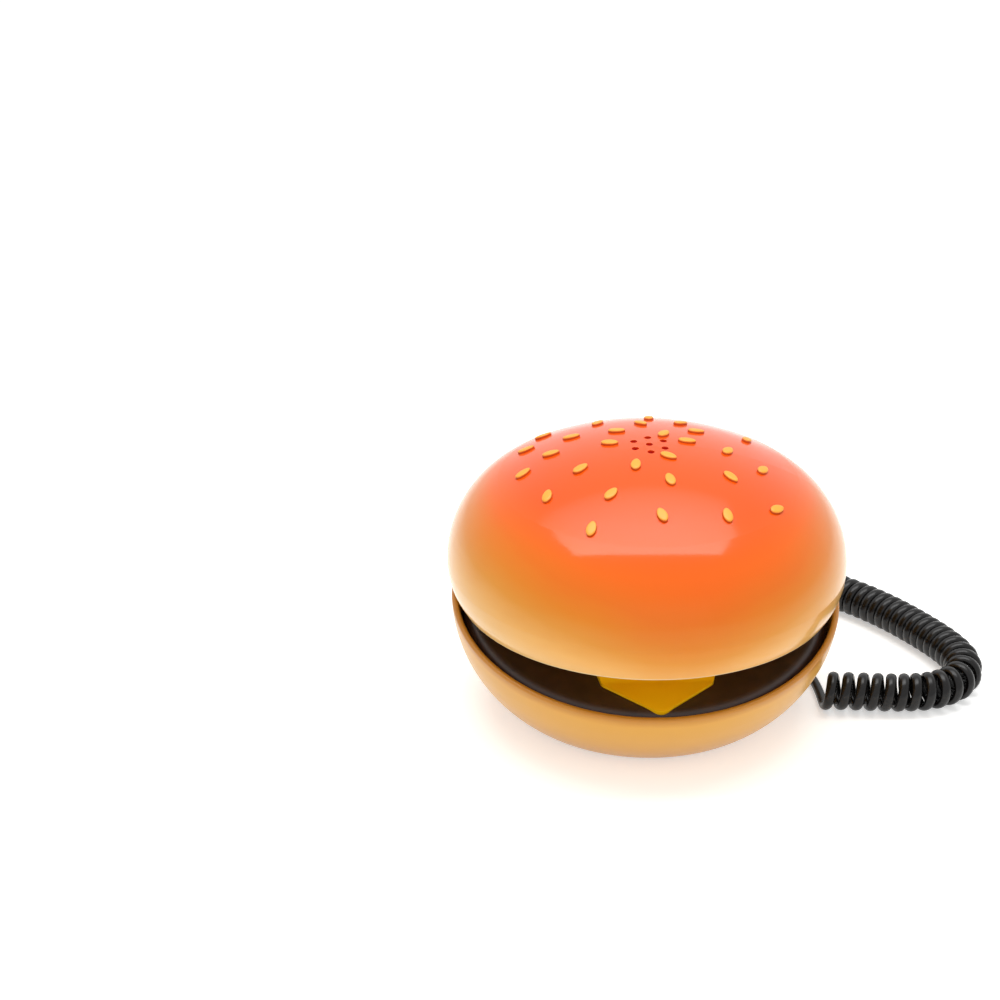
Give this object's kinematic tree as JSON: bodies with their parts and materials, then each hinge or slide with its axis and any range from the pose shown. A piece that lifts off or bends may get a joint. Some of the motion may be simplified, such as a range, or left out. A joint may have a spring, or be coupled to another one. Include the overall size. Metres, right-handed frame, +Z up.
{
  "type": "novelty hamburger telephone",
  "caption": "Flip telephone shaped like a hamburger: the top bun hinges up with the earpiece, the base holds a keypad, and a curly cord ends in a modular plug.",
  "frame": {"origin": "middle of the telephone on the table", "axes": "+Z up, -Y towards the front (cheese corner), hinge at +Y"},
  "size_m": [0.173, 0.1658, 0.0892],
  "materials": {
    "top_bun_shell": "gloss orange, sprayed from red-orange crown to tan edge",
    "bottom_bun_shell": "gloss tan",
    "patty_brown": "gloss dark brown",
    "cheese_yellow": "gloss yellow",
    "inner_yellow": "gloss yellow",
    "seed_paint": "satin pale yellow",
    "key_cream": "satin cream",
    "plate_black": "satin black",
    "cord_black": "gloss black vinyl",
    "rubber_dark": "matte",
    "mat_grey": "matte",
    "board_green": "satin",
    "steel": "plated",
    "capsule": "satin",
    "clear_plug": "clear moulding",
    "gold": "plated"
  },
  "bodies": {
    "base": {"bottom_bun": "bottom_bun_shell", "patty": "patty_brown", "cheese_deck": "cheese_yellow", "function_strip": "plate_black", "key_mat": "mat_grey", "main_board": "board_green", "board_screws": "steel", "base_screws": "steel", "rubber_feet": "rubber_dark", "microphone": "capsule", "hook_switch": "plate_black", "hinge_pin": "steel", "cord_strain_relief": "cord_black", "cord_lead_in": "cord_black", "curly_cord": "cord_black", "cord_tail": "cord_black", "line_plug": "clear_plug", "plug_contacts": "gold"},
    "lid": {"top_bun": "top_bun_shell", "sesame_seeds": "seed_paint", "lid_cover": "inner_yellow", "lid_hinge_leaf": "inner_yellow", "receiver": "capsule", "ringer": "capsule", "name_plate": "plate_black", "lid_screws": "steel"},
    "hook": {"hook_button": "inner_yellow"},
    "key_1": {"key_1": "key_cream"},
    "key_2": {"key_2": "key_cream"},
    "key_3": {"key_3": "key_cream"},
    "key_4": {"key_4": "key_cream"},
    "key_5": {"key_5": "key_cream"},
    "key_6": {"key_6": "key_cream"},
    "key_7": {"key_7": "key_cream"},
    "key_8": {"key_8": "key_cream"},
    "key_9": {"key_9": "key_cream"},
    "key_star": {"key_star": "key_cream"},
    "key_0": {"key_0": "key_cream"},
    "key_hash": {"key_hash": "key_cream"},
    "key_flash": {"key_flash": "key_cream"},
    "key_redial": {"key_redial": "key_cream"},
    "key_mute": {"key_mute": "key_cream"}
  },
  "joints": [
    {"name": "lid_hinge", "type": "hinge", "parent": "base", "child": "lid", "pos_m": [0, 0.059, 0.0386], "axis": [-1, 0, 0], "range_deg": [0, 120]},
    {"name": "hook_slide", "type": "slide", "parent": "base", "child": "hook", "axis": [0, 0, 1], "range_m": [0, 0.003]},
    {"name": "key_1_press", "type": "slide", "parent": "base", "child": "key_1", "axis": [0, 0.0767, -0.9971], "range_m": [0, 0.0012], "stiffness_N_per_m": 600},
    {"name": "key_2_press", "type": "slide", "parent": "base", "child": "key_2", "axis": [0, 0.0767, -0.9971], "range_m": [0, 0.0012], "stiffness_N_per_m": 600},
    {"name": "key_3_press", "type": "slide", "parent": "base", "child": "key_3", "axis": [0, 0.0767, -0.9971], "range_m": [0, 0.0012], "stiffness_N_per_m": 600},
    {"name": "key_4_press", "type": "slide", "parent": "base", "child": "key_4", "axis": [0, 0.0767, -0.9971], "range_m": [0, 0.0012], "stiffness_N_per_m": 600},
    {"name": "key_5_press", "type": "slide", "parent": "base", "child": "key_5", "axis": [0, 0.0767, -0.9971], "range_m": [0, 0.0012], "stiffness_N_per_m": 600},
    {"name": "key_6_press", "type": "slide", "parent": "base", "child": "key_6", "axis": [0, 0.0767, -0.9971], "range_m": [0, 0.0012], "stiffness_N_per_m": 600},
    {"name": "key_7_press", "type": "slide", "parent": "base", "child": "key_7", "axis": [0, 0.0767, -0.9971], "range_m": [0, 0.0012], "stiffness_N_per_m": 600},
    {"name": "key_8_press", "type": "slide", "parent": "base", "child": "key_8", "axis": [0, 0.0767, -0.9971], "range_m": [0, 0.0012], "stiffness_N_per_m": 600},
    {"name": "key_9_press", "type": "slide", "parent": "base", "child": "key_9", "axis": [0, 0.0767, -0.9971], "range_m": [0, 0.0012], "stiffness_N_per_m": 600},
    {"name": "key_star_press", "type": "slide", "parent": "base", "child": "key_star", "axis": [0, 0.0767, -0.9971], "range_m": [0, 0.0012], "stiffness_N_per_m": 600},
    {"name": "key_0_press", "type": "slide", "parent": "base", "child": "key_0", "axis": [0, 0.0767, -0.9971], "range_m": [0, 0.0012], "stiffness_N_per_m": 600},
    {"name": "key_hash_press", "type": "slide", "parent": "base", "child": "key_hash", "axis": [0, 0.0767, -0.9971], "range_m": [0, 0.0012], "stiffness_N_per_m": 600},
    {"name": "key_flash_press", "type": "slide", "parent": "base", "child": "key_flash", "axis": [0, 0.0767, -0.9971], "range_m": [0, 0.0012], "stiffness_N_per_m": 600},
    {"name": "key_redial_press", "type": "slide", "parent": "base", "child": "key_redial", "axis": [0, 0.0767, -0.9971], "range_m": [0, 0.0012], "stiffness_N_per_m": 600},
    {"name": "key_mute_press", "type": "slide", "parent": "base", "child": "key_mute", "axis": [0, 0.0767, -0.9971], "range_m": [0, 0.0012], "stiffness_N_per_m": 600}
  ],
  "couplings": [
    {"joint": "hook_slide", "follows": "lid_hinge", "m_per_rad": 0.001432}
  ]
}
